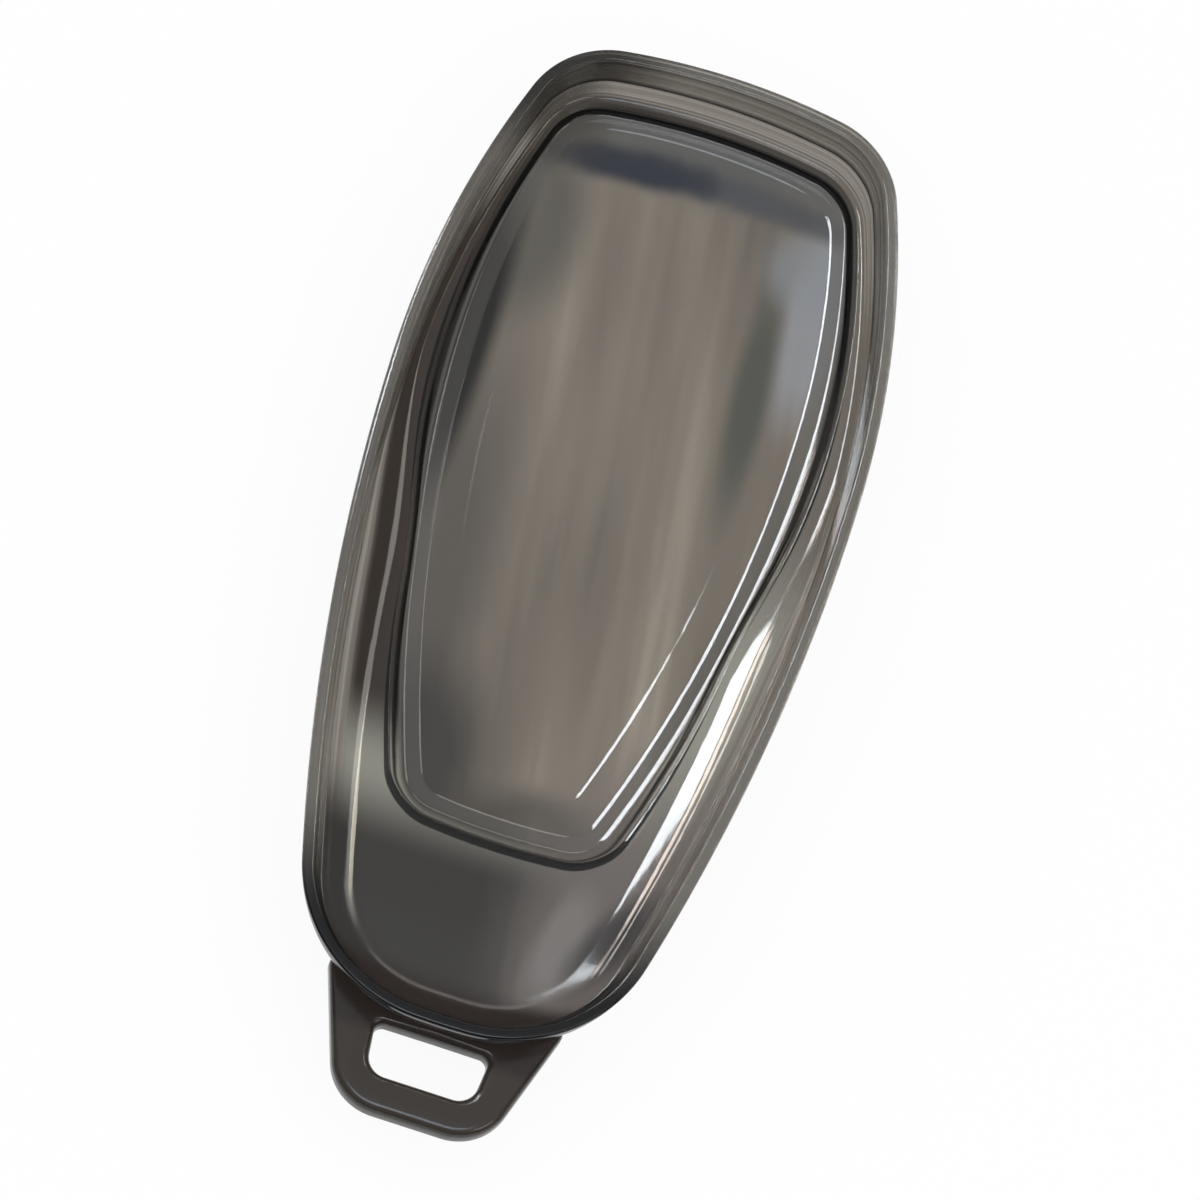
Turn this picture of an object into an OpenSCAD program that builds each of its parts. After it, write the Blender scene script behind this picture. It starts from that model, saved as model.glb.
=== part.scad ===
// Key fob cover in smoky transparent plastic: a back shell with a moulded keyring loop,
// and the front frame that closes the rim round the fob.
// The open side faces up. The origin lies under the middle of the whole part, on the plane of the back panel.

/* [Rim outline] */
// Length of the shell along its midline, without the loop
shell_len = 91.5; // [86:0.5:98]
// Width of the shell at its widest place
shell_w = 42; // [38:0.5:48]
// Height of the closed cover, from the back panel to the top of the frame
shell_h = 8.5; // [7.5:0.1:12]
// Distance of the widest place from the wide end
widest_at = 34; // [30:0.5:40]
// Radius of the bowed wide end
end_r = 60; // [45:1:90]
// Radius of the two corners at the wide end
end_corner_r = 8.5; // [6:0.5:10]
// Radius of the sides between the widest place and the wide end
upper_side_r = 86; // [75:1:110]
// Radius of the sides between the widest place and the chin
lower_side_r = 195; // [170:5:260]
// Radius of the two corners at the chin
chin_corner_r = 14; // [11:0.5:15]
// Radius of the bowed chin end
chin_r = 60; // [40:1:100]

/* [Walls] */
// Thickness of the side walls
wall_t = 1.1; // [1:0.05:1.6]
// Thickness of the back panel and of the ledge round it
floor_t = 1.2; // [0.9:0.05:1.6]
// Lean of the walls out of the vertical, in degrees
draft = 9; // [5:0.5:12]
// Inner radius where the side walls meet the ledge
wall_fillet_r = 0.6; // [0.4:0.05:0.9]

/* [Back panel] */
// Gap from the wide end to the edge of the panel
panel_end_gap = 3.3; // [3.2:0.1:5]
// Gap from each side to the edge of the panel, at its widest place
panel_side_gap = 5.5; // [4.5:0.1:8]
// Gap from the chin end to the edge of the panel
panel_chin_gap = 21.2; // [16:0.1:28]
// Distance of the panel's widest place from the wide end
panel_widest_at = 27; // [26:0.5:32]
// Radius of the panel's bowed wide end
panel_end_r = 58; // [45:1:90]
// Radius of the panel's corners at the wide end
panel_corner_r = 4.5; // [4:0.25:7]
// Radius of the panel's sides towards the wide end
panel_upper_r = 80; // [75:1:110]
// Radius of the panel's sides towards the chin
panel_lower_r = 125; // [100:5:160]
// Radius of the panel's corners at the chin
panel_chin_corner_r = 3.25; // [3:0.25:5]
// Radius of the panel's bowed chin end
panel_chin_r = 60; // [35:1:90]
// Height of the step from the panel up to the ledge
step_h = 1.7; // [1.2:0.1:2.2]
// Length of the step's slope where there is room for all of it
step_run = 2.1; // [1.6:0.1:3]
// Share of the way from the walls' fillet to the panel that stays level, where room is short
ledge_share = 0.1; // [0.05:0.05:0.3]
// Share of the step's length by which its crown is drawn out: less is sharper
step_crown_share = 0.15; // [0:0.05:0.3]
// Share of the step's length at which its foot starts to level out: less is a longer sweep
step_foot_share = 0.3; // [0.1:0.05:0.7]

/* [Chin] */
// Inner radius where the chin floor, and the ledge on the way to it, sweeps up to the rim
chin_fillet_r = 4.4; // [3:0.1:4.8]
// Distance from the wide end at which the walls' fillet starts to grow
fillet_from = 28; // [26:1:36]
// Distance from the wide end at which the fillet has the chin's radius
fillet_full = 52; // [48:1:70]
// Extra height of the chin floor over the ledge
chin_rise = 0.6; // [0:0.1:0.8]
// Distance from the wide end at which the ledge starts to rise into the chin
chin_from = 40; // [35:1:50]
// Distance from the wide end at which the chin floor has its full height
chin_full = 78; // [70:1:82]

/* [Front frame] */
// Height of the bead that shows above the shell's lip
bead_h = 1; // [0.8:0.05:1.4]
// Rounding of the bead's two top edges
bead_round_r = 0.25; // [0.2:0.05:0.45]
// Depth of the tongue that goes down inside the lip
tongue_h = 2.2; // [1.2:0.1:2.4]
// Thickness of the shell's lip outside the tongue
lip_t = 0.45; // [0.4:0.05:0.6]
// Clearance between the frame and the shell, on every face
fit_gap = 0.1; // [0.05:0.01:0.2]

/* [Keyring loop] */
// Reach of the loop beyond the chin end
loop_len = 8; // [7.2:0.1:12]
// Thickness of the loop
loop_t = 2.2; // [1.8:0.1:2.6]
// Depth of the loop's top face below the top of the frame
loop_drop = 2.9; // [2.6:0.1:3.4]
// Width of the loop where it leaves the chin
loop_root_w = 18.4; // [17:0.1:19]
// Width across the loop's sides at its far end, before its corners are rounded
loop_end_w = 13.3; // [13.2:0.1:18]
// Radius of the loop's corners at its far end
loop_corner_r = 4.9; // [2:0.1:5.2]
// Rounding of the loop's edges
loop_round_r = 0.7; // [0.3:0.05:0.85]
// Width of the slot at the chin
slot_root_w = 10.2; // [9:0.1:11]
// Width of the slot at its far end, before its corners are rounded
slot_end_w = 8.6; // [7:0.1:9]
// Distance of the slot from the chin end
slot_gap = 0.2; // [0.1:0.05:0.8]
// Radius of the slot's corners at the chin
slot_root_r = 0.9; // [0.5:0.1:1.2]
// Radius of the slot's corners at its far end
slot_corner_r = 1.8; // [0.8:0.1:2.2]
// Width of the bar beyond the slot
bar_w = 3.3; // [2.6:0.1:3.4]

/* [Hidden] */

smoke = [0.36, 0.34, 0.32, 0.8];
overrun = 1;

// Facets along the six arcs of half an outline, in a fillet, down the step, in a bead or loop edge and up a face
arc_steps = [5, 9, 8, 10, 9, 5];
fillet_steps = 5;
slope_steps = 7;
round_steps = 3;
face_steps = 3;
corner_steps = 6;

// Lengthwise places, with the middle of the whole part at zero
top_y = (shell_len + loop_len) / 2;
chin_y = top_y - shell_len;

// Heights of the frame, the lip and its seat, and the loop
shoulder_z = shell_h - bead_round_r;
bead_z = shell_h - bead_h;
lip_z = bead_z - fit_gap;
tongue_z = bead_z - tongue_h;
seat_z = tongue_z - fit_gap;
loop_z = shell_h - loop_drop;
lean = tan(draft);

// Half outlines as six arcs each: bowed end, corner, upper side, lower side, chin corner, bowed chin end.
// An arc is [centre, radius, first angle, last angle].
function heading(a, b) = atan2(b.y - a.y, b.x - a.x);

// Centre of the circle of radius r that lies inside two other circles and touches both
function nested_centre(ca, ra, cb, rb, r) =
    let (d = norm(cb - ca), along = (cb - ca) / d, a = ra - r, b = rb - r)
    let (x = (d * d + a * a - b * b) / (2 * d), h = sqrt(a * a - x * x))
    ca + x * along - h * [-along.y, along.x];

function half_outline(y0, y1, half_w, wide_y, r_end, r_corner, r_upper, r_lower, r_chin_corner, r_chin) =
    let (c_end = [0, y0 - r_end], c_upper = [half_w - r_upper, wide_y])
    let (c_lower = [half_w - r_lower, wide_y], c_chin = [0, y1 + r_chin])
    let (c_corner = nested_centre(c_end, r_end, c_upper, r_upper, r_corner))
    let (c_last = nested_centre(c_lower, r_lower, c_chin, r_chin, r_chin_corner))
    let (a1 = heading(c_end, c_corner), a2 = heading(c_upper, c_corner))
    let (a3 = heading(c_lower, c_last), a4 = heading(c_chin, c_last))
    [
        [c_end, r_end, 90, a1],
        [c_corner, r_corner, a1, a2],
        [c_upper, r_upper, a2, 0],
        [c_lower, r_lower, 0, a3],
        [c_last, r_chin_corner, a3, a4],
        [c_chin, r_chin, a4, -90]
    ];

// Points with their outward directions: each is [point, direction]
function arc_point(arc, a) = let (out = [cos(a), sin(a)]) [arc[0] + arc[1] * out, out];
function right_half(arcs) = [
    for (k = [0:len(arcs) - 1], i = [0:arc_steps[k] - 1])
        arc_point(arcs[k], arcs[k][2] + (arcs[k][3] - arcs[k][2]) * i / arc_steps[k])
];

// The point of a half outline that lies nearest to a point outside it
function nearest_on(arcs, q) =
    let (found = [for (arc = arcs) arc_point(arc, min(max(heading(arc[0], q), arc[3]), arc[2]))])
    let (gaps = [for (f = found) norm(q - f[0])])
    [for (k = [0:len(gaps) - 1]) if (gaps[k] == min(gaps)) found[k]][0];

// The right half's points and their mirror images, all the way round clockwise
function flipped(p) = [-p.x, p.y];
function round_trip(right, y1) =
    let (left = [for (i = [len(right) - 1:-1:1]) [flipped(right[i][0]), flipped(right[i][1])]])
    concat(right, [[[0, y1], [0, -1]]], left);

rim_half = right_half(half_outline(
    top_y, chin_y, shell_w / 2, top_y - widest_at,
    end_r, end_corner_r, upper_side_r, lower_side_r, chin_corner_r, chin_r));
panel_arcs = half_outline(
    top_y - panel_end_gap, chin_y + panel_chin_gap, shell_w / 2 - panel_side_gap, top_y - panel_widest_at,
    panel_end_r, panel_corner_r, panel_upper_r, panel_lower_r, panel_chin_corner_r, panel_chin_r);

// Each point of the panel's edge lies straight inward from its point on the rim
rim = round_trip(rim_half, chin_y);
panel = round_trip([for (p = rim_half) nearest_on(panel_arcs, p[0])], chin_y + panel_chin_gap);
around = len(rim);

// Each of the sections round the rim has its own ledge height and fillet, which grow towards the chin
function smooth(t) = let (c = min(max(t, 0), 1)) c * c * (3 - 2 * c);
function share_at(p, from, full) = smooth((top_y - from - p[0].y) / (full - from));
ledge_z = [for (p = rim) floor_t + step_h + chin_rise * share_at(p, chin_from, chin_full)];
inner_r = [for (p = rim) wall_fillet_r + (chin_fillet_r - wall_fillet_r) * share_at(p, fillet_from, fillet_full)];

// A skin is [inset at the shoulder, ledge heights, fillet radii, distance of the step outside the panel, floor height]
step_lead = floor_t * tan((90 - draft) / 4);
inner_skin = [wall_t, ledge_z, inner_r, 0, floor_t];
outer_skin = [0, ledge_z - [for (z = ledge_z) floor_t], inner_r + [for (r = inner_r) wall_t], step_lead, 0];

function wall_inset(skin, z) = skin[0] + max(shoulder_z - z, 0) * lean;
function fillet_end(skin, i) = wall_inset(skin, skin[1][i]) + skin[2][i] * tan((90 - draft) / 2);

// Inset of a skin at a height: on the straight wall, or on the fillet below it
function skin_inset(skin, i, z) =
    let (r = skin[2][i], over = skin[1][i] + r - z)
    over > r * sin(draft) ? fillet_end(skin, i) - sqrt(r * r - over * over) : wall_inset(skin, z);

function rim_point(i, inset, z) = concat(rim[i][0] - inset * rim[i][1], z);
function panel_point(skin, i) = panel[i][0] + skin[3] * panel[i][1];

function wall_ring(insets, z) = [for (i = [0:around - 1]) rim_point(i, insets[i], z)];
function level_ring(skin, z, extra = 0) =
    wall_ring([for (i = [0:around - 1]) skin_inset(skin, i, z) + extra], z);

// The fillet starts where it leaves the straight wall, or just below a given height if it is already under way there
fillet_lead = 4;
function fillet_start(skin, i, below_z) =
    let (r = skin[2][i], rise_share = (skin[1][i] + r - below_z) / r)
    max(180 + draft, rise_share > 0 ? 180 + asin(rise_share) + fillet_lead : 0);

function fillet_ring(skin, k, below_z) = [
    for (i = [0:around - 1])
        let (a0 = fillet_start(skin, i, below_z), a = a0 + (270 - a0) * k / fillet_steps, r = skin[2][i])
        rim_point(i, fillet_end(skin, i) + r * cos(a), skin[1][i] + r + r * sin(a))
];

// The step down to the panel runs the last stretch of the way from the fillet to the panel's edge. Its slope is a
// Bezier curve with a tight crown and a sweeping foot, and is shorter where room is short.
function step_length(room) =
    let (most = room * (1 - ledge_share))
    most / pow(1 + pow(most / step_run, 4), 1 / 4);
function step_gone_share(t) =
    3 * pow(1 - t, 2) * t * step_crown_share + 3 * (1 - t) * t * t * step_foot_share + t * t * t;
function step_ring(skin, k) = [
    for (i = [0:around - 1])
        let (from = rim[i][0] - fillet_end(skin, i) * rim[i][1], to = panel_point(skin, i), t = k / slope_steps)
        let (back = (from - to) / norm(from - to), run = step_length(norm(from - to)))
        concat(to + back * run * (1 - step_gone_share(t)), skin[1][i] + (skin[4] - skin[1][i]) * smooth(t))
];

function skin_rings(skin, below_z) = concat(
    [for (k = [0:fillet_steps]) fillet_ring(skin, k, below_z)],
    [for (k = [0:slope_steps]) step_ring(skin, k)]);

// A closed mesh over rings of points, each clockwise as seen from the first ring's end
function band(a, b, n) = [
    for (i = [0:n - 1])
        let (j = (i + 1) % n)
        each [[a * n + i, b * n + i, b * n + j], [a * n + i, b * n + j, a * n + j]]
];
module ring_loft(rings, closed = false) {
    n = len(rings[0]);
    last = len(rings) - 1;
    sides = [for (k = [0:last - 1]) each band(k, k + 1, n)];
    ends = closed ? band(last, 0, n) : [[for (i = [0:n - 1]) i], [for (i = [n - 1:-1:0]) last * n + i]];
    polyhedron([for (r = rings) each r], concat(sides, ends));
}

// The shell's outside and its hollow, each a stack of rings from the top down
module shell_outside() {
    ring_loft(concat([level_ring(outer_skin, lip_z)], skin_rings(outer_skin, lip_z)));
}
module shell_hollow() {
    mouth_z = lip_z + overrun;
    ring_loft(concat(
        [
            level_ring(outer_skin, mouth_z, lip_t),
            level_ring(outer_skin, lip_z, lip_t),
            level_ring(outer_skin, seat_z, lip_t),
            level_ring(inner_skin, seat_z)
        ],
        skin_rings(inner_skin, seat_z)));
}

// Half of a tapered outline on the loop, from the middle of its near end round two corners to the middle of its far
// end. Distances run outward from the chin end.
function loop_side(root_w, end_w, near, near_r, far, far_r) =
    let (taper = (root_w - end_w) / 2 / loop_len, turn = atan(taper))
    let (corners = [[near + near_r, near_r, -90, turn], [far - far_r, far_r, turn, 90]])
    concat(
        [[0, -near]],
        [
            for (c = corners, k = [0:corner_steps])
                let (r = c[1], a = c[2] + (c[3] - c[2]) * k / corner_steps)
                [root_w / 2 - taper * c[0] - r / cos(turn) + r * cos(a), -c[0] - r * sin(a)]
        ],
        [[0, -far]]);

// The loop's section from its outer edge to the slot, with rounded edges, clockwise seen along the loop
function loop_section(outer, inner) =
    let (w = norm(inner - outer), across = (inner - outer) / w, r = loop_round_r)
    let (low_z = loop_z - loop_t)
    let (corners = [[r, loop_z - r, 180], [w - r, loop_z - r, 90], [w - r, low_z + r, 0], [r, low_z + r, -90]])
    [
        for (c = corners, k = [0:round_steps])
            let (a = c[2] - 90 * k / round_steps, t = c[0] + r * cos(a))
            [outer.x + t * across.x, chin_y + outer.y + t * across.y, c[1] + r * sin(a)]
    ];

module keyring_loop() {
    outer = loop_side(loop_root_w, loop_end_w, -chin_fillet_r, slot_root_r, loop_len, loop_corner_r);
    inner = loop_side(slot_root_w, slot_end_w, slot_gap, slot_root_r, loop_len - bar_w, slot_corner_r);
    last = len(outer) - 1;
    ring_loft(
        concat(
            [for (k = [0:last]) loop_section(outer[k], inner[k])],
            [for (k = [last - 1:-1:1]) loop_section(flipped(outer[k]), flipped(inner[k]))]),
        closed = true);
}

// One moulding: the tray that the fob lies in, with the loop on its chin
module back_shell() {
    color(smoke)
    difference() {
        union() {
            shell_outside();
            keyring_loop();
        }
        shell_hollow();
    }
}

// The frame's bead carries on the wall above the lip, and its tongue fills the rebate inside the lip
module front_frame() {
    rise = shoulder_z - tongue_z;
    quarter = [for (k = [0:round_steps]) 90 * k / round_steps];
    color(smoke)
    ring_loft(
        concat(
            [for (a = quarter)
                level_ring(outer_skin, shoulder_z + bead_round_r * cos(a), bead_round_r * (1 - sin(a)))],
            [
                level_ring(outer_skin, bead_z),
                level_ring(outer_skin, bead_z, lip_t + fit_gap),
                level_ring(outer_skin, tongue_z, lip_t + fit_gap)
            ],
            [for (k = [0:face_steps]) level_ring(inner_skin, tongue_z + rise * k / face_steps)],
            [for (k = [1:round_steps])
                let (a = quarter[k])
                level_ring(inner_skin, shoulder_z + bead_round_r * sin(a), -bead_round_r * (1 - cos(a)))]),
        closed = true);
}

back_shell();
front_frame();
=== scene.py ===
import math

import bpy
import numpy as np
from mathutils import Matrix, Vector


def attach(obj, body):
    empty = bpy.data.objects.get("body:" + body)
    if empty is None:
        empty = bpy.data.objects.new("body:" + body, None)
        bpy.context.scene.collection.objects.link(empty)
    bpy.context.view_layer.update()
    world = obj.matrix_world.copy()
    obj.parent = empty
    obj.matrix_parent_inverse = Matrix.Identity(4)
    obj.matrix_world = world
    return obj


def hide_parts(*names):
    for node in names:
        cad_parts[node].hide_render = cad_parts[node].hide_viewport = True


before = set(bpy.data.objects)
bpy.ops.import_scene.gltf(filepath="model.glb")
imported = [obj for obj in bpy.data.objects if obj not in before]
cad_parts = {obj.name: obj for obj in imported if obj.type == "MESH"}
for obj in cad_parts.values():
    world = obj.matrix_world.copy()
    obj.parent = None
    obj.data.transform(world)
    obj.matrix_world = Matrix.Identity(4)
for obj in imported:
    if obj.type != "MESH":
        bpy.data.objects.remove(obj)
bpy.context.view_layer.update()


# The tray of the back shell: one injection moulding in smoke-tinted clear plastic, glossy inside and out.
# It has a flat back panel sunk below a ledge, leaning side walls with a thin lip on top, and a chin that
# sweeps up to the rim at the narrow end.
MM = 0.001
SHELL_LEN, SHELL_W, SHELL_H = 91.5, 42.0, 8.5
LOOP_LEN = 8.0
TOP_Y = (SHELL_LEN + LOOP_LEN) / 2
CHIN_Y = TOP_Y - SHELL_LEN
WALL_T, FLOOR_T = 1.1, 1.2
DRAFT = math.radians(9)
EDGE_R = 0.06
BEAD_H, BEAD_ROUND, TONGUE_H, FIT_GAP = 1.0, 0.25, 2.2, 0.1
SHOULDER_Z = SHELL_H - BEAD_ROUND
BEAD_Z = SHELL_H - BEAD_H
TONGUE_Z = BEAD_Z - TONGUE_H
LIP_T = 0.45
LIP_Z = BEAD_Z - FIT_GAP
SEAT_Z = TONGUE_Z - FIT_GAP


def heading(a, b):
    """The direction from one point to another, as an angle from +X."""
    return math.atan2(b[1] - a[1], b[0] - a[0])


def nested_centre(ca, ra, cb, rb, r):
    """Centre of the circle of radius r that lies inside two others and touches both."""
    ca, cb = np.array(ca), np.array(cb)
    apart = np.linalg.norm(cb - ca)
    along = (cb - ca) / apart
    a, b = ra - r, rb - r
    x = (apart ** 2 + a * a - b * b) / (2 * apart)
    return ca + x * along - math.sqrt(a * a - x * x) * np.array([-along[1], along[0]])


def half_outline(top_y, chin_y, half_w, wide_y, radii):
    """The right half of an outline, clockwise, as six arcs: centre, radius, first and last angle. The radii
    are those of the wide end, its corner, the upper side, the lower side, the chin's corner and the chin."""
    end_r, corner_r, upper_r, lower_r, chin_corner_r, chin_r = radii
    end, upper = (0, top_y - end_r), (half_w - upper_r, wide_y)
    lower, chin = (half_w - lower_r, wide_y), (0, chin_y + chin_r)
    corner = nested_centre(end, end_r, upper, upper_r, corner_r)
    chin_corner = nested_centre(lower, lower_r, chin, chin_r, chin_corner_r)
    turns = [math.pi / 2, heading(end, corner), heading(upper, corner), 0,
             heading(lower, chin_corner), heading(chin, chin_corner), -math.pi / 2]
    centres = (end, corner, upper, lower, chin_corner, chin)
    return [(np.array(c, float), r, turns[k], turns[k + 1]) for k, (c, r) in enumerate(zip(centres, radii))]


def on_arc(arc, angle):
    """A point of an arc and its outward direction."""
    out = np.array([math.cos(angle), math.sin(angle)])
    return arc[0] + arc[1] * out, out


def nearest_on(arcs, spot):
    """The point of a half outline that lies nearest to a spot outside it, with its outward direction."""
    found = [on_arc(arc, min(max(heading(arc[0], spot), arc[3]), arc[2])) for arc in arcs]
    return min(found, key=lambda f: math.dist(f[0], spot))


def round_trip(right, chin_y):
    """The right half's points and directions, the middle of the chin end, and their mirror images."""
    mirror = np.array([-1, 1])
    points, outs = (np.array(rows) for rows in zip(*right))
    return (np.concatenate([points, [[0, chin_y]], points[:0:-1] * mirror]),
            np.concatenate([outs, [[0, -1]], outs[:0:-1] * mirror]))


RIM_WIDEST = TOP_Y - 34
RIM_RADII = (60, 8.5, 86, 195, 14, 60)
ARC_STEPS = (22, 34, 30, 48, 40, 22)
RIM_ARCS = half_outline(TOP_Y, CHIN_Y, SHELL_W / 2, RIM_WIDEST, RIM_RADII)
rim_half = [on_arc(arc, arc[2] + (arc[3] - arc[2]) * k / n) for arc, n in zip(RIM_ARCS, ARC_STEPS)
            for k in range(n)]
RIM, RIM_OUT = round_trip(rim_half, CHIN_Y)

PANEL_TOP, PANEL_CHIN, PANEL_HALF_W = TOP_Y - 3.3, CHIN_Y + 21.2, SHELL_W / 2 - 5.5
PANEL_WIDEST = TOP_Y - 27
PANEL_RADII = (58, 4.5, 80, 125, 3.25, 60)
PANEL_ARCS = half_outline(PANEL_TOP, PANEL_CHIN, PANEL_HALF_W, PANEL_WIDEST, PANEL_RADII)
PANEL, PANEL_OUT = round_trip([nearest_on(PANEL_ARCS, spot) for spot, _ in rim_half], PANEL_CHIN)

BORDER_W, BORDER_H, BORDER_EDGE = 4.0, 0.05, 0.6
BORDER_LIP_W, BORDER_LIP_H, BORDER_LIP_EDGE = 1.25, 0.06, 0.4
FLAT_CORNER_R, FLAT_CHIN_CORNER_R = 5.0, 2.5
FLAT_CHIN = PANEL_CHIN + BORDER_W
FLAT_RADII = [r - BORDER_W for r in PANEL_RADII]
FLAT_RADII[1], FLAT_RADII[4] = FLAT_CORNER_R, FLAT_CHIN_CORNER_R
FLAT_ARCS = half_outline(PANEL_TOP - BORDER_W, FLAT_CHIN, PANEL_HALF_W - BORDER_W, PANEL_WIDEST, FLAT_RADII)
FLAT, _ = round_trip([nearest_on(FLAT_ARCS, spot) for spot, _ in zip(PANEL, rim_half)], FLAT_CHIN)


def smooth(t):
    """A share from 0 to 1, eased at both ends."""
    t = np.clip(t, 0, 1)
    return t * t * (3 - 2 * t)


def share_at(start, full):
    """How far the walls have turned into the chin, from 0 to 1, at each point of the rim: none at the
    distance start from the wide end, and all of it at the distance full."""
    return smooth((TOP_Y - start - RIM[:, 1]) / (full - start))


LEDGE_H, CHIN_RISE, CHIN_RISE_SPAN = 1.7, 0.6, (40, 78)
SIDE_FILLET_R, CHIN_FILLET_R, FILLET_SPAN = 0.6, 4.4, (28, 52)
LEDGE_Z = FLOOR_T + LEDGE_H + CHIN_RISE * share_at(*CHIN_RISE_SPAN)
FILLET_R = SIDE_FILLET_R + (CHIN_FILLET_R - SIDE_FILLET_R) * share_at(*FILLET_SPAN)
STEP_RUN, STEP_SOFTNESS = 2.1, 4
LEDGE_SHARE, STEP_CROWN_SHARE, STEP_FOOT_SHARE = 0.1, 0.15, 0.30
CUT_MARGIN = math.radians(2)


class Skin:
    """The inside or the outside of the tray: a leaning wall that starts at an inset from the rim, a fillet,
    the ledge at its height, and the step down to the panel at the height of the floor. Lead is how far
    the foot of the step lies outside the panel's outline. Border is 1 if the panel has one, else 0."""

    def __init__(self, inset, ledge, radius, lead, floor, border):
        self.inset, self.ledge, self.radius = inset, ledge, radius
        self.lead, self.floor, self.border = lead, floor, border
        self.end = self.wall(ledge) + radius * math.tan((math.pi / 2 - DRAFT) / 2)

    def wall(self, z):
        """How far inside the rim's outline the leaning wall stands at a height."""
        return self.inset + np.maximum(SHOULDER_Z - z, 0) * math.tan(DRAFT)

    def at(self, z):
        """How far inside the rim's outline the skin lies at a height, on the wall or on its fillet."""
        over = self.ledge + self.radius - z
        arc = self.end - np.sqrt(np.maximum(self.radius ** 2 - over ** 2, 0))
        return np.where(over > self.radius * math.sin(DRAFT), arc, self.wall(z))

    def level(self, z, extra=0.0):
        """A ring of the wall at a height, moved inwards by extra."""
        return place(self.at(z) + extra, z)

    def fillet(self, share, below_z):
        """A ring of the fillet, at a share of its turn. A fillet that rises past below_z starts there."""
        rise = np.clip((self.ledge + self.radius - below_z) / self.radius, 0, 1)
        cut = np.where(rise > 0, math.pi + np.arcsin(rise) + CUT_MARGIN, 0)
        first = np.maximum(math.pi + DRAFT, cut)
        a = first + (1.5 * math.pi - first) * share
        return place(self.end + self.radius * np.cos(a), self.ledge + self.radius * (1 + np.sin(a)))

    def step(self, t):
        """A ring of the soft step down to the panel, at a share t of the way. The step takes its full run
        where the ledge is wide enough, and most of the ledge elsewhere."""
        start, to = RIM - self.end[:, None] * RIM_OUT, PANEL + self.lead * PANEL_OUT
        room = np.linalg.norm(to - start, axis=1)
        most = room * (1 - LEDGE_SHARE)
        run = most / (1 + (most / STEP_RUN) ** STEP_SOFTNESS) ** (1 / STEP_SOFTNESS)
        gone = 3 * (1 - t) ** 2 * t * STEP_CROWN_SHARE + 3 * (1 - t) * t ** 2 * STEP_FOOT_SHARE + t ** 3
        xy = to + (start - to) * (run / room * (1 - gone))[:, None]
        foot = self.floor + self.border * (BORDER_H + BORDER_LIP_H)
        return np.column_stack([xy, self.ledge + (foot - self.ledge) * smooth(t)])

    def ledge_rings(self, margin=0.4):
        """Two rings close to the ends of the ledge, which keep it flat between them."""
        start, crown = self.fillet(1, LIP_Z), self.step(0)
        width = np.linalg.norm(crown - start, axis=1)
        share = np.minimum(margin / np.maximum(width, margin), 1 / 3)[:, None]
        return [start + (crown - start) * share, crown + (start - crown) * share]

    def down(self, below_z, fillets=14, slopes=16):
        """The rings from the wall down to the foot of the step."""
        turns = [self.fillet(k / fillets, below_z) for k in range(fillets + 1)]
        falls = [self.step(k / slopes) for k in range(slopes + 1)]
        return turns + self.ledge_rings() + falls

    def panel(self, share):
        """A ring of the panel. Its border stands a hair higher than its middle, and its rim another hair."""
        start = PANEL + self.lead * PANEL_OUT
        inset = BORDER_W * share
        rise = BORDER_H * smooth((BORDER_W - inset) / BORDER_EDGE)
        rise += BORDER_LIP_H * smooth((BORDER_LIP_W - inset) / BORDER_LIP_EDGE)
        return np.column_stack([start + (FLAT - start) * share,
                                np.full(len(PANEL), self.floor + self.border * rise)])


def place(inset, z):
    """A ring at a height, inside the rim's outline by an inset. Both may differ from point to point."""
    xy = RIM - (np.zeros(len(RIM)) + inset)[:, None] * RIM_OUT
    return np.column_stack([xy, np.zeros(len(RIM)) + z])


STEP_LEAD = FLOOR_T * math.tan((math.pi / 2 - DRAFT) / 4)
INSIDE = Skin(WALL_T, LEDGE_Z, FILLET_R, 0.0, FLOOR_T, 1)
OUTSIDE = Skin(0.0, LEDGE_Z - FLOOR_T, FILLET_R + WALL_T, STEP_LEAD, 0.0, 0)


def ring_mesh(name, rings, closed=False):
    """A closed surface over rings of points; open stacks get a flat face at each end."""
    n, count = len(rings[0]), len(rings)
    i = np.arange(n)
    j = (i + 1) % n
    pairs = [(k, k + 1) for k in range(count - 1)] + ([(count - 1, 0)] if closed else [])
    faces = [f for a, b in pairs for f in np.stack([a * n + i, b * n + i, b * n + j, a * n + j], 1).tolist()]
    if not closed:
        faces += [i.tolist(), ((count - 1) * n + i)[::-1].tolist()]
    mesh = bpy.data.meshes.new(name)
    mesh.from_pydata((np.concatenate(rings) * MM).tolist(), [], faces)
    mesh.validate()
    piece = bpy.data.objects.new(name, mesh)
    bpy.context.scene.collection.objects.link(piece)
    return piece


BACK_EDGE_SHARE = 0.1
outer_rings = [OUTSIDE.panel(1), OUTSIDE.panel(BACK_EDGE_SHARE)] + OUTSIDE.down(LIP_Z)[::-1]
lip_rings = [
    OUTSIDE.level(LIP_Z - EDGE_R),
    OUTSIDE.level(LIP_Z, EDGE_R),
    OUTSIDE.level(LIP_Z, LIP_T - EDGE_R),
    OUTSIDE.level(LIP_Z - EDGE_R, LIP_T),
    OUTSIDE.level((LIP_Z + SEAT_Z) / 2, LIP_T),
    OUTSIDE.level(SEAT_Z, LIP_T),
]
inner_rings = [INSIDE.level(SEAT_Z, -EDGE_R), INSIDE.level(SEAT_Z - EDGE_R)] + INSIDE.down(SEAT_Z - EDGE_R)

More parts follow.
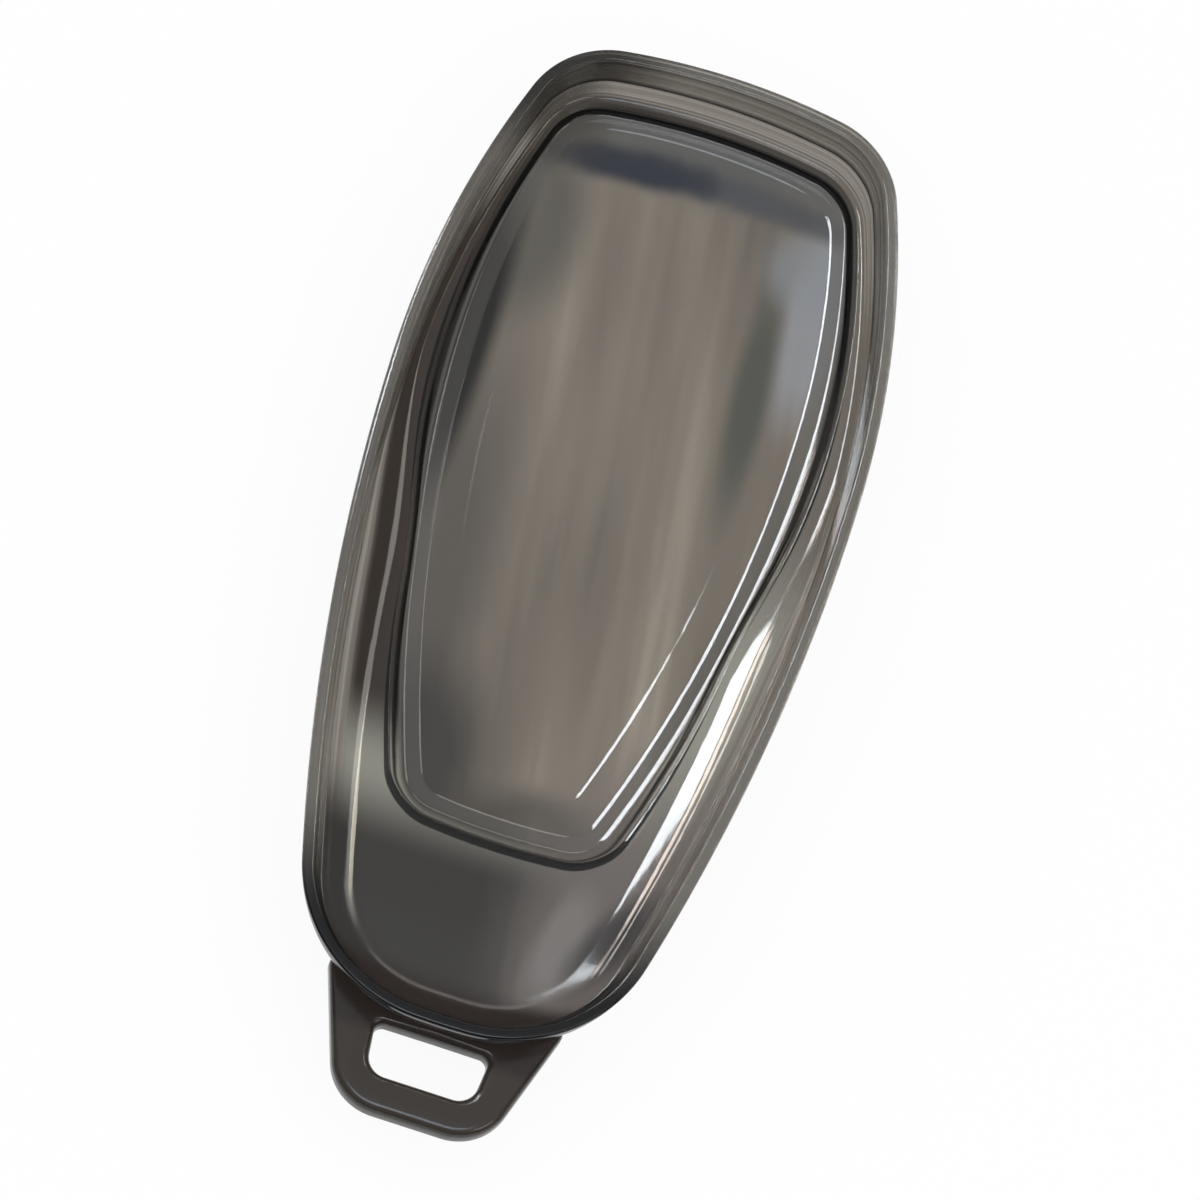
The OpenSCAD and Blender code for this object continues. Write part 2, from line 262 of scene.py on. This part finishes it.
# Rings of the panel, from its edge inwards: one for each flat stretch and several down each raised edge.
BORDER_LIP_FLAT, BORDER_FLAT = 0.4, 2.3
LIP_EDGE_STEPS, BORDER_EDGE_STEPS = 6, 8
lip_edge = [BORDER_LIP_EDGE * (1 - k / LIP_EDGE_STEPS) for k in range(LIP_EDGE_STEPS + 1)]
border_edge = [BORDER_EDGE * (1 - k / BORDER_EDGE_STEPS) for k in range(BORDER_EDGE_STEPS + 1)]
insets = [BORDER_LIP_FLAT] + [BORDER_LIP_W - run for run in lip_edge]
insets += [BORDER_FLAT] + [BORDER_W - run for run in border_edge]
border_rings = [INSIDE.panel(inset / BORDER_W) for inset in insets]
shell = ring_mesh("back_shell_moulding", outer_rings + lip_rings + inner_rings + border_rings)


# The keyring loop on the chin: two tapering arms and a bar round a slot for a split ring. It is moulded
# in one with the chin, in the same plastic, with rounded edges so that a ring slides over them.
LOOP_T, LOOP_ROUND, LOOP_DROP = 2.2, 0.7, 2.9
LOOP_Z = SHELL_H - LOOP_DROP
LOOP_ROOT_W, LOOP_END_W, LOOP_END_R = 18.4, 13.3, 4.9
LOOP_SUNK, ROOT_R = 4.6, 0.9
SLOT_ROOT_W, SLOT_END_W, SLOT_END_R = 10.2, 8.6, 1.8
SLOT_START, BAR_W = 0.2, 3.3


def loop_outline(root_w, end_w, near, near_r, far, far_r, steps=16):
    """Half of a tapered outline with round corners, from the middle of its near end to its far end's."""
    taper = (root_w - end_w) / 2 / LOOP_LEN
    turn = math.atan(taper)
    corners = ((near + near_r, near_r, -math.pi / 2, turn), (far - far_r, far_r, turn, math.pi / 2))
    points = [(0, -near)]
    for reach, r, first, last in corners:
        side = root_w / 2 - taper * reach - r / math.cos(turn)
        for a in np.linspace(first, last, steps + 1):
            points.append((side + r * math.cos(a), -reach - r * math.sin(a)))
    points.append((0, -far))
    return np.array(points)


chin_at = int(np.argmin(RIM[:, 1]))


def too_deep(x, y, z):
    """Whether a point of the loop would stand past the middle of the chin's wall."""
    near = np.argmin(np.hypot(RIM[:, 0] - x, RIM[:, 1] - y))
    inside_rim = float((RIM[near] - (x, y)) @ RIM_OUT[near])
    return inside_rim > (OUTSIDE.at(z)[chin_at] + INSIDE.at(z)[chin_at]) / 2


def drawn_back(start, across, t, width, z, halvings=24):
    """A point of a section, moved along it until it ends in the chin's wall."""
    if too_deep(*(start + t * across), z):
        good, bad = width, t
        for _ in range(halvings):
            middle = (good + bad) / 2
            good, bad = (good, middle) if too_deep(*(start + middle * across), z) else (middle, bad)
        t = good
    return (*(start + t * across), z)


def loop_section(outer_spot, inner_spot, steps=7):
    """A rounded section of the loop, between a point of its outline and the slot's."""
    width = math.dist(outer_spot, inner_spot)
    across = (inner_spot - outer_spot) / width
    start = outer_spot + (0, CHIN_Y)
    r = LOOP_ROUND
    far, high, low = width - r, LOOP_Z - r, LOOP_Z - LOOP_T + r
    ring = []
    for corner_t, corner_z, first in ((r, high, 180), (far, high, 90), (far, low, 0), (r, low, -90)):
        for k in range(steps + 1):
            a = math.radians(first - 90 * k / steps)
            t, z = corner_t + r * math.cos(a), corner_z + r * math.sin(a)
            ring.append(drawn_back(start, across, t, width, z))
    return np.array(ring)


outer = loop_outline(LOOP_ROOT_W, LOOP_END_W, -LOOP_SUNK, ROOT_R, LOOP_LEN, LOOP_END_R)
inner = loop_outline(SLOT_ROOT_W, SLOT_END_W, SLOT_START, ROOT_R, LOOP_LEN - BAR_W, SLOT_END_R)
flip = np.array([-1, 1])
sections = [loop_section(o, i) for o, i in zip(outer, inner)]
sections += [loop_section(o * flip, i * flip) for o, i in zip(outer[-2:0:-1], inner[-2:0:-1])]
loop = ring_mesh("loop_moulding", sections, closed=True)

join = shell.modifiers.new("join_loop", "BOOLEAN")
join.operation, join.object, join.solver = "UNION", loop, "EXACT"
shell.data = bpy.data.meshes.new_from_object(shell.evaluated_get(bpy.context.evaluated_depsgraph_get()))
shell.modifiers.clear()
bpy.data.objects.remove(loop)


def gloss_edges(piece, degrees=32):
    """Smooth shading that keeps the piece's real edges crisp."""
    piece.data.polygons.foreach_set("use_smooth", np.ones(len(piece.data.polygons), bool))
    piece.data.set_sharp_from_angle(angle=math.radians(degrees))


gloss_edges(shell)


class SmokyPlastic:
    """Smoke-tinted clear plastic. Soft streaks along the panel are painted reflections, and fine streaks run
    round the walls. The tint darkens on the ledge, in the step and towards the chin, as painted shade."""

    REFRACTION = 1.52
    SMOKE_COLOUR = (0.36, 0.30, 0.24)
    GLOSS_LOW, GLOSS_HIGH, GLOSS_SCALE = 0.02, 0.07, 60
    CHIN_MATT, CHIN_MATT_FROM, CHIN_MATT_TO = 0.14, -27, -33
    FRAY, CLOUD_EDGE, CLOUD_FULL = 0.7, 0.14, 0.72
    STREAK_DETAIL = 3

    def __init__(self, name, clear):
        self.material = bpy.data.materials.new(name)
        self.material.use_nodes = True
        self.nodes, self.links = self.material.node_tree.nodes, self.material.node_tree.links
        self.plastic = self.nodes["Principled BSDF"]
        self.plastic.inputs["IOR"].default_value = self.REFRACTION
        self.plastic.inputs["Transmission Weight"].default_value = clear
        self.spot = self.nodes.new("ShaderNodeTexCoord").outputs["Object"]
        split = self.nodes.new("ShaderNodeSeparateXYZ")
        self.links.new(self.spot, split.inputs[0])
        self.over = {axis: split.outputs[axis] for axis in "XYZ"}

    def math(self, operation, a, b):
        """Arithmetic on two values, each a number or a node's output."""
        node = self.nodes.new("ShaderNodeMath")
        node.operation = operation
        for socket, value in zip(node.inputs, (a, b)):
            if isinstance(value, (int, float)):
                socket.default_value = value
            else:
                self.links.new(value, socket)
        return node.outputs[0]

    def span(self, value, low, high, most=1.0):
        """A share that rises smoothly from 0 to most as a value goes from low to high."""
        where = self.nodes.new("ShaderNodeMapRange")
        where.interpolation_type = "SMOOTHSTEP"
        where.inputs["From Min"].default_value, where.inputs["From Max"].default_value = low, high
        where.inputs["To Max"].default_value = most
        self.links.new(value, where.inputs["Value"])
        return where.outputs["Result"]

    def past(self, axis, low, high, most=1.0):
        """The same share along X, Y or Z, in millimetres."""
        return self.span(self.over[axis], low * MM, high * MM, most)

    def height_over_inside(self, upright=0.1, flat=0.6):
        """Height, with the thickness of the floor added on the outside, so that both skins take one tint."""
        skin = self.nodes.new("ShaderNodeNewGeometry")
        lean = self.nodes.new("ShaderNodeSeparateXYZ")
        self.links.new(skin.outputs["Normal"], lean.inputs[0])
        turned = self.math("SUBTRACT", 1.0, self.math("MULTIPLY", skin.outputs["Backfacing"], 2.0))
        down = self.math("MULTIPLY", self.math("MULTIPLY", lean.outputs["Z"], turned), -1.0)
        self.over["Z"] = self.math("ADD", self.over["Z"], self.span(down, upright, flat, FLOOR_T * MM))

    def streaks(self, scale, stretch, turn, ramp):
        """Streaks: noise drawn out along one direction, in a ramp of (place, colour)."""
        drawn = self.nodes.new("ShaderNodeMapping")
        drawn.vector_type = "TEXTURE"
        drawn.inputs["Rotation"].default_value = (0, 0, math.radians(turn))
        drawn.inputs["Scale"].default_value = stretch
        noise = self.nodes.new("ShaderNodeTexNoise")
        noise.inputs["Scale"].default_value = scale
        noise.inputs["Detail"].default_value = self.STREAK_DETAIL
        colours = self.nodes.new("ShaderNodeValToRGB")
        colours.color_ramp.interpolation = "EASE"
        ends = colours.color_ramp.elements
        ends[0].position, ends[0].color = ramp[0][0], (*ramp[0][1], 1)
        ends[1].position, ends[1].color = ramp[-1][0], (*ramp[-1][1], 1)
        for position, colour in ramp[1:-1]:
            ends.new(position).color = (*colour, 1)
        self.links.new(self.spot, drawn.inputs["Vector"])
        self.links.new(drawn.outputs["Vector"], noise.inputs["Vector"])
        self.links.new(noise.outputs["Fac"], colours.inputs["Fac"])
        return colours.outputs["Color"], noise.outputs["Fac"]

    def blend(self, base, share, colour):
        """A tint that gives way to a plain colour, or to another tint, by a share."""
        mix = self.nodes.new("ShaderNodeMix")
        mix.data_type = "RGBA"
        self.links.new(share, mix.inputs["Factor"])
        self.links.new(base, mix.inputs["A"])
        if isinstance(colour, tuple):
            mix.inputs["B"].default_value = (*colour, 1)
        else:
            self.links.new(colour, mix.inputs["B"])
        return mix.outputs["Result"]

    def cloud(self, base, streak_noise, middle, half, turn, colour, most):
        """A soft oval, frayed by the streak noise, where a colour is painted in to stand for light and
        shade.
        """
        oval = self.nodes.new("ShaderNodeMapping")
        oval.vector_type = "TEXTURE"
        oval.inputs["Location"].default_value = (middle[0] * MM, middle[1] * MM, 0)
        oval.inputs["Rotation"].default_value = (0, 0, math.radians(turn))
        oval.inputs["Scale"].default_value = (half[0] * MM, half[1] * MM, 1)
        fade = self.nodes.new("ShaderNodeTexGradient")
        fade.gradient_type = "SPHERICAL"
        self.links.new(self.spot, oval.inputs["Vector"])
        self.links.new(oval.outputs["Vector"], fade.inputs["Vector"])
        fray = self.math("MULTIPLY", self.math("SUBTRACT", streak_noise, 0.5), self.FRAY)
        frayed = self.math("ADD", fade.outputs["Fac"], fray)
        return self.blend(base, self.span(frayed, self.CLOUD_EDGE, self.CLOUD_FULL, most), colour)

    def bump(self, height, strength, distance, before=None):
        """Relief of a height in millimetres, on top of the relief given before."""
        wave = self.nodes.new("ShaderNodeBump")
        wave.inputs["Strength"].default_value = strength
        wave.inputs["Distance"].default_value = distance * MM
        self.links.new(height, wave.inputs["Height"])
        if before is not None:
            self.links.new(before, wave.inputs["Normal"])
        return wave.outputs["Normal"]

    def finish(self, tint, relief, smoke):
        """The plastic with its tint and relief, a gloss that varies a little and is duller on the chin, and
        smoke of the density given inside it."""
        self.links.new(tint, self.plastic.inputs["Base Color"])
        haze = self.nodes.new("ShaderNodeTexNoise")
        haze.inputs["Scale"].default_value = self.GLOSS_SCALE
        rough = self.nodes.new("ShaderNodeMapRange")
        rough.inputs["To Min"].default_value = self.GLOSS_LOW
        rough.inputs["To Max"].default_value = self.GLOSS_HIGH
        self.links.new(self.spot, haze.inputs["Vector"])
        self.links.new(haze.outputs["Fac"], rough.inputs["Value"])
        chin = self.past("Y", self.CHIN_MATT_FROM, self.CHIN_MATT_TO, self.CHIN_MATT)
        self.links.new(self.math("ADD", rough.outputs["Result"], chin), self.plastic.inputs["Roughness"])
        self.links.new(relief, self.plastic.inputs["Normal"])
        absorb = self.nodes.new("ShaderNodeVolumeAbsorption")
        absorb.inputs["Color"].default_value = (*self.SMOKE_COLOUR, 1)
        absorb.inputs["Density"].default_value = smoke
        self.links.new(absorb.outputs["Volume"], self.nodes["Material Output"].inputs["Volume"])
        return self.material


# The panel's streak colours are painted reflections. The walls' streaks are finer.
PANEL_REFLECTION_STREAKS = ((0.30, (0.20, 0.19, 0.175)), (0.44, (0.31, 0.28, 0.24)),
                (0.56, (0.38, 0.345, 0.295)), (0.70, (0.54, 0.49, 0.42)))
WALL_STREAKS = ((0.30, (0.15, 0.14, 0.125)), (0.44, (0.37, 0.35, 0.32)),
                (0.56, (0.50, 0.48, 0.44)), (0.70, (0.72, 0.71, 0.67)))
PANEL_STREAK_SCALE, PANEL_STREAK_STRETCH, PANEL_STREAK_TURN, PANEL_STREAK_HEIGHT, PANEL_STREAK_RELIEF = 190, (1, 12, 1), 7, 0.4, 0.14
WALL_SCALE, WALL_STRETCH, WALL_TURN, WALL_HEIGHT, WALL_RELIEF = 2300, (260, 260, 1), 0, 0.05, 0.3
SHELL_CLEAR, SHELL_SMOKE = 0.9, 500

# Clouds painted into the tint, which stand in for shade and reflections: middle, half sizes, turn in
# degrees, colour, and how much of it shows at the most.
PANEL_PAINTED_LIGHT = {
    "pale middle": ((-0.5, 18), (8, 20), 0, (0.47, 0.43, 0.37), 0.35),
    "dark left side": ((-12.5, -4), (9.5, 40), 0, (0.17, 0.16, 0.15), 0.85),
    "dim wide end": ((0, 46.5), (28, 8.5), 0, (0.19, 0.20, 0.195), 0.95),
    "pale right side": ((12.8, 32.5), (4.2, 15), 0, (0.50, 0.53, 0.58), 0.9),
    "dark streak on the right": ((9.6, 25), (2.9, 19), 4, (0.14, 0.155, 0.14), 0.9),
    "dim upper left": ((-12.5, 34), (6.5, 14), 0, (0.17, 0.17, 0.155), 0.8),
    "pale upper right": ((11.0, 37.6), (6.5, 6.5), 0, (0.44, 0.49, 0.55), 0.6),
    "dim band at the wide end": ((5.0, 42.6), (15, 2.7), -3, (0.14, 0.15, 0.17), 0.95),
    "blue band at the wide end": ((-6.0, 42.1), (13, 2.7), 4, (0.053, 0.064, 0.090), 1.0),
    "dim narrow end": ((2, -20), (14, 6), 0, (0.12, 0.115, 0.105), 0.8),
    "dark lower left": ((-8, -16), (9, 15), 4, (0.085, 0.085, 0.083), 0.9),
    "dark left edge": ((-15.0, 23), (3.2, 23), 0, (0.035, 0.035, 0.033), 1.0),
}
# Painted shade on the wall at the upper left corner.
WALL_PAINTED_SHADE = ((-15, 45.5), (9, 8), 0, (0.10, 0.092, 0.082), 0.85)
# Painted light and shade on the chin: a paler right half, a pale streak and a dark streak beside it.
CHIN_PAINTED_LIGHT = {
    "pale right half": ((14, -27), (18, 24), -12, (0.27, 0.25, 0.24), 0.95),
    "pale streak": ((7.8, -29.5), (3.0, 8.5), -12, (0.37, 0.365, 0.365), 0.75),
    "dark streak beside it": ((12.2, -28.0), (3.4, 8.5), -27, (0.095, 0.095, 0.10), 0.9),
}

# Heights and places at which the tint changes, each from the first trace of the new tint to all of it. The
# darker tints of the border, the step, the ledge and the chin are painted shade; the paler step is a painted
# highlight.
BORDER_BAND, STEP_BAND, LEDGE_BAND = (1.265, 1.295), (1.45, 1.70), (2.78, 2.87)
WALL_BAND, END_WALL_BAND, END_WALL_Y = (3.75, 4.6), (2.98, 3.10), (30, 40)
BORDER_PAINTED_SHADE, STEP_PAINTED_SHADE, LEDGE_PAINTED_SHADE = (0.20, 0.205, 0.20), (0.05, 0.048, 0.045), (0.26, 0.24, 0.21)
LEFT_LEDGE_X, LEFT_LEDGE_PAINTED_SHADE = (2, -9), (0.07, 0.058, 0.050)
# Painted highlight: the step is paler on the right side and towards the chin.
PALE_STEP_BAND, PALE_STEP_PAINTED_HIGHLIGHT = (1.35, 1.60), (0.50, 0.51, 0.46)
PALE_SIDE_X, PALE_SIDE_Y, PALE_END_Y, PALE_END_MOST = (3, 9), (16, -2), (-12, -19), 0.9
# Painted shade: the tint darkens towards the chin, and more at its end wall.
CHIN_START_Y, CHIN_PAINTED_SHADE = (-19, -26), (0.074, 0.073, 0.070)
CHIN_END_Y, CHIN_END_PAINTED_SHADE = (-34.8, -37.2), (0.052, 0.042, 0.039)
LOOP_START_Y, LOOP_TINT = (-42.2, -43.0), (0.09, 0.08, 0.07)

tray = SmokyPlastic("smoky_shell_plastic", SHELL_CLEAR)
tray.height_over_inside()
# The panel's streaks are painted reflections. The same noise also gives a little relief.
tint, streak_noise = tray.streaks(PANEL_STREAK_SCALE, PANEL_STREAK_STRETCH, PANEL_STREAK_TURN, PANEL_REFLECTION_STREAKS)
# Clouds of painted shade and painted reflections on the panel.
for cloud in PANEL_PAINTED_LIGHT.values():
    tint = tray.cloud(tint, streak_noise, *cloud)
# Painted shade: the border, the step and the ledge are darker, the ledge more so on the left.
tint = tray.blend(tint, tray.past("Z", *BORDER_BAND), BORDER_PAINTED_SHADE)
tint = tray.blend(tint, tray.past("Z", *STEP_BAND), STEP_PAINTED_SHADE)
tint = tray.blend(tint, tray.past("Z", *LEDGE_BAND), LEDGE_PAINTED_SHADE)
left_ledge = tray.math("MULTIPLY", tray.past("X", *LEFT_LEDGE_X), tray.past("Z", *LEDGE_BAND))
tint = tray.blend(tint, left_ledge, LEFT_LEDGE_PAINTED_SHADE)
# Painted highlight: the step is paler on the right side and towards the chin.
pale_side = tray.math("MULTIPLY", tray.past("X", *PALE_SIDE_X), tray.past("Y", *PALE_SIDE_Y))
pale_part = tray.math("MAXIMUM", pale_side, tray.past("Y", *PALE_END_Y, PALE_END_MOST))
tint = tray.blend(tint, tray.math("MULTIPLY", pale_part, tray.past("Z", *PALE_STEP_BAND)), PALE_STEP_PAINTED_HIGHLIGHT)
wall_tint, wall_streak_noise = tray.streaks(WALL_SCALE, WALL_STRETCH, WALL_TURN, WALL_STREAKS)
end_wall = tray.math("MULTIPLY", tray.past("Y", *END_WALL_Y), tray.past("Z", *END_WALL_BAND))
tint = tray.blend(tint, tray.math("MAXIMUM", end_wall, tray.past("Z", *WALL_BAND)), wall_tint)
# Painted shade on the wall at the upper left corner.
tint = tray.cloud(tint, streak_noise, *WALL_PAINTED_SHADE)
# Painted shade: the tint darkens towards the chin.
tint = tray.blend(tint, tray.past("Y", *CHIN_START_Y), CHIN_PAINTED_SHADE)
# Painted light and shade on the chin.
for cloud in CHIN_PAINTED_LIGHT.values():
    tint = tray.cloud(tint, streak_noise, *cloud)
# Painted shade: darker still at the chin's end wall.
tint = tray.blend(tint, tray.past("Y", *CHIN_END_Y), CHIN_END_PAINTED_SHADE)
tint = tray.blend(tint, tray.past("Y", *LOOP_START_Y), LOOP_TINT)
relief = tray.bump(wall_streak_noise, WALL_RELIEF, WALL_HEIGHT, tray.bump(streak_noise, PANEL_STREAK_RELIEF, PANEL_STREAK_HEIGHT))
shell.data.materials.clear()
shell.data.materials.append(tray.finish(tint, relief, SHELL_SMOKE))
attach(shell, "back_shell")
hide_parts("back_shell")


# The front frame: a thin ring moulded in the same smoky plastic, which closes the rim. Its rounded bead
# carries on the wall above the lip. Its tongue goes down inside the lip when it is pressed on by hand.
FRAME_CLEAR, FRAME_SMOKE, FRAME_PALER = 0.8, 400, 1.7
# Painted shade: the frame's tint darkens at its upper left corner.
CORNER_X, CORNER_Y, CORNER_MOST, FRAME_CORNER_PAINTED_SHADE = (-3, -11), (35, 43), 0.85, (0.15, 0.138, 0.120)
# Painted shade: the frame's tint darkens at the chin.
FRAME_CHIN_Y, FRAME_CHIN_PAINTED_SHADE = (-24, -36), (0.006, 0.005, 0.005)
TONGUE_IN = LIP_T + FIT_GAP
BEAD_STEPS, FACE_STEPS = 7, 10
quarter = [math.pi / 2 * k / BEAD_STEPS for k in range(BEAD_STEPS + 1)]
rings = [OUTSIDE.level(SHOULDER_Z + BEAD_ROUND * math.cos(a), BEAD_ROUND * (1 - math.sin(a)))
         for a in quarter]
rings += [
    OUTSIDE.level(BEAD_Z + EDGE_R),
    OUTSIDE.level(BEAD_Z, EDGE_R),
    OUTSIDE.level(BEAD_Z, TONGUE_IN),
    OUTSIDE.level((BEAD_Z + TONGUE_Z) / 2, TONGUE_IN),
    OUTSIDE.level(TONGUE_Z + EDGE_R, TONGUE_IN),
    OUTSIDE.level(TONGUE_Z, TONGUE_IN + EDGE_R),
    INSIDE.level(TONGUE_Z, -EDGE_R),
]
face_low = TONGUE_Z + EDGE_R
rings += [INSIDE.level(face_low + (SHOULDER_Z - face_low) * k / FACE_STEPS) for k in range(FACE_STEPS + 1)]
rings += [INSIDE.level(SHOULDER_Z + BEAD_ROUND * math.sin(a), -BEAD_ROUND * (1 - math.cos(a)))
          for a in quarter[1:]]
front = ring_mesh("front_frame_ring", rings[::-1], closed=True)
gloss_edges(front)

rim = SmokyPlastic("smoky_frame_plastic", FRAME_CLEAR)
paler = [(position, tuple(min(FRAME_PALER * c, 1.0) for c in colour)) for position, colour in WALL_STREAKS]
tint, streak_noise = rim.streaks(WALL_SCALE, WALL_STRETCH, WALL_TURN, paler)
# Painted shade: the frame darkens at its upper left corner.
corner = rim.math("MULTIPLY", rim.past("X", *CORNER_X), rim.past("Y", *CORNER_Y, CORNER_MOST))
tint = rim.blend(tint, corner, FRAME_CORNER_PAINTED_SHADE)
# Painted shade: the frame darkens at the chin.
tint = rim.blend(tint, rim.past("Y", *FRAME_CHIN_Y), FRAME_CHIN_PAINTED_SHADE)
front.data.materials.append(rim.finish(tint, rim.bump(streak_noise, WALL_RELIEF, WALL_HEIGHT), FRAME_SMOKE))
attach(front, "front_frame")
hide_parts("front_frame")


# The table top: a wide white sheet under the cover. It looks white to the camera and through the plastic,
# and still takes part of the cover's shadow. From here on, sizes and places are in metres.
TABLE_Z, TABLE_HALF = -0.0001, 2
SHEET_COLOUR, SHEET_GLOW = (0.9, 0.9, 0.9, 1), 0.93


def light_path(tree, *kinds):
    """1 for the kinds of ray named, else 0."""
    path = tree.nodes.new("ShaderNodeLightPath")
    total = path.outputs[kinds[0]]
    for kind in kinds[1:]:
        either = tree.nodes.new("ShaderNodeMath")
        either.operation = "MAXIMUM"
        tree.links.new(total, either.inputs[0])
        tree.links.new(path.outputs[kind], either.inputs[1])
        total = either.outputs[0]
    return total


table_mesh = bpy.data.meshes.new("table_top")
corners = [(x * TABLE_HALF, y * TABLE_HALF, TABLE_Z) for x, y in ((-1, -1), (1, -1), (1, 1), (-1, 1))]
table_mesh.from_pydata(corners, [], [(0, 1, 2, 3)])
table = bpy.data.objects.new("table_top", table_mesh)
bpy.context.scene.collection.objects.link(table)
paper = bpy.data.materials.new("white_sheet")
paper.use_nodes = True
nodes, links = paper.node_tree.nodes, paper.node_tree.links
nodes.remove(nodes["Principled BSDF"])
matt = nodes.new("ShaderNodeBsdfDiffuse")
matt.inputs["Color"].default_value = SHEET_COLOUR
white = nodes.new("ShaderNodeEmission")
white.inputs["Strength"].default_value = 1.0
glow = nodes.new("ShaderNodeMath")
glow.operation = "MULTIPLY"
glow.inputs[1].default_value = SHEET_GLOW
seen = light_path(paper.node_tree, "Is Camera Ray", "Is Glossy Ray", "Is Transmission Ray")
links.new(seen, glow.inputs[0])
mix = nodes.new("ShaderNodeMixShader")
links.new(glow.outputs[0], mix.inputs["Fac"])
links.new(matt.outputs[0], mix.inputs[1])
links.new(white.outputs[0], mix.inputs[2])
links.new(mix.outputs[0], nodes["Material Output"].inputs["Surface"])
table_mesh.materials.append(paper)


# The studio: a dark room, paler overhead, and white wherever the camera looks straight at it. One soft
# lamp lights matt surfaces. The other lamps show only in the gloss: a window's panes close by, beyond the
# wide end and round to the left, a lit wall behind them, a window on the right and a light overhead.
ROOM_LOW, ROOM_LOW_COLOUR = 0.62, (0.10, 0.10, 0.10, 1)
ROOM_HIGH, ROOM_HIGH_COLOUR = 0.95, (0.44, 0.45, 0.47, 1)
world = bpy.data.worlds.new("studio")
bpy.context.scene.world = world
world.use_nodes = True
nodes, links = world.node_tree.nodes, world.node_tree.links
room = nodes["Background"]
coord = nodes.new("ShaderNodeTexCoord")
split = nodes.new("ShaderNodeSeparateXYZ")
ramp = nodes.new("ShaderNodeValToRGB")
low, high = ramp.color_ramp.elements
low.position, low.color = ROOM_LOW, ROOM_LOW_COLOUR
high.position, high.color = ROOM_HIGH, ROOM_HIGH_COLOUR
links.new(coord.outputs["Generated"], split.inputs[0])
links.new(split.outputs["Z"], ramp.inputs["Fac"])
whiten = nodes.new("ShaderNodeMix")
whiten.data_type = "RGBA"
whiten.inputs["B"].default_value = (1, 1, 1, 1)
links.new(light_path(world.node_tree, "Is Camera Ray", "Is Diffuse Ray"), whiten.inputs["Factor"])
links.new(ramp.outputs["Color"], whiten.inputs["A"])
links.new(whiten.outputs["Result"], room.inputs["Color"])
room.inputs["Strength"].default_value = 1.0


def soft_light(name, size, radiance, where, colour=(1, 1, 1), glints_only=False):
    """A rectangular softbox turned to the cover. One for glints only leaves matt surfaces alone."""
    lamp = bpy.data.lights.new(name, "AREA")
    lamp.shape = "RECTANGLE"
    lamp.size, lamp.size_y = size
    lamp.energy = radiance * math.pi * size[0] * size[1]
    lamp.color = colour
    holder = bpy.data.objects.new(name, lamp)
    holder.location = where
    holder.rotation_euler = (-Vector(where)).to_track_quat("-Z", "Y").to_euler()
    holder.visible_camera = False
    if glints_only:
        holder.visible_diffuse = False
        holder.visible_volume_scatter = False
    bpy.context.scene.collection.objects.link(holder)
    return holder


def strip_light(name, start, end, width, radiance, colour):
    """A long narrow lamp between two places, for glints only, like one pane of a window."""
    start, end = Vector(start), Vector(end)
    middle = (start + end) / 2
    holder = soft_light(name, ((end - start).length, width), radiance, middle, colour, glints_only=True)
    back = middle.normalized()
    across = (end - start - (end - start).dot(back) * back).normalized()
    holder.rotation_euler = Matrix((across, back.cross(across), back)).transposed().to_euler()


DAYLIGHT, SKY, WARM = (0.90, 0.95, 1.0), (0.78, 0.88, 1.0), (1.0, 0.97, 0.92)
PEACH, CREAM, IVORY, STRAW = (1.0, 0.84, 0.76), (1.0, 0.92, 0.88), (1.0, 0.97, 0.90), (1.0, 0.93, 0.74)
soft_light("fill_right", (0.3, 0.3), 2.0, (0.5, -0.25, 0.6), WARM)
soft_light("zenith_light", (0.36, 0.36), 4, (0.0, -0.08, 1.0), SKY, glints_only=True)
strip_light("window_pane", (-0.040, 0.112, 0.269), (-0.165, 0.151, 0.195), 0.024, 18, DAYLIGHT)
strip_light("window_side_pane", (-0.176, 0.148, 0.186), (-0.200, 0.153, 0.160), 0.028, 15, PEACH)
strip_light("window_far_pane", (-0.222, 0.152, 0.130), (-0.232, 0.154, 0.110), 0.030, 10, CREAM)
strip_light("window_first_pane", (0.084, 0.101, 0.268), (0.114, 0.123, 0.248), 0.022, 9, STRAW)
strip_light("far_wall_light", (-0.060, 0.198, 0.215), (0.080, 0.198, 0.215), 0.030, 3.5, IVORY)
soft_light("window_right", (0.2, 0.2), 3.2, (0.42, 0.50, 0.76), WARM, glints_only=True)


# The camera: a long lens high above the cover, tilted 22 degrees towards the loop. It is rolled, so that
# the cover lies askew in the square picture, with its middle at the pixel that the two aims give.
PICTURE, SENSOR = 1200, 36
PIXELS_PER_M, DISTANCE = 11720.4, 1.42
AIM_RIGHT, AIM_DOWN = 569.5, 604.6
LEAN_X, LEAN_Y = -0.03, -0.3794
ROLL = math.radians(18.07)
CLIP_NEAR, CLIP_FAR = 0.05, 20
toward = Vector((LEAN_X, LEAN_Y, math.sqrt(1 - LEAN_X ** 2 - LEAN_Y ** 2)))
across = (Vector((1, 0, 0)) - toward * toward.x).normalized()
upward = toward.cross(across)
right = math.cos(ROLL) * across + math.sin(ROLL) * upward
up = -math.sin(ROLL) * across + math.cos(ROLL) * upward
lens = bpy.data.cameras.new("camera")
lens.sensor_width = SENSOR
lens.lens = SENSOR * PIXELS_PER_M * DISTANCE / PICTURE
lens.clip_start, lens.clip_end = CLIP_NEAR, CLIP_FAR
camera = bpy.data.objects.new("camera", lens)
middle = Vector((0, 0, SHELL_H / 2 * MM))
shift = right * (PICTURE / 2 - AIM_RIGHT) + up * (AIM_DOWN - PICTURE / 2)
spot = middle + toward * DISTANCE + shift / PIXELS_PER_M
camera.matrix_world = Matrix.Translation(spot) @ Matrix((right, up, toward)).transposed().to_4x4()
bpy.context.scene.collection.objects.link(camera)
bpy.context.scene.camera = camera
bpy.context.scene.view_settings.view_transform = "Standard"
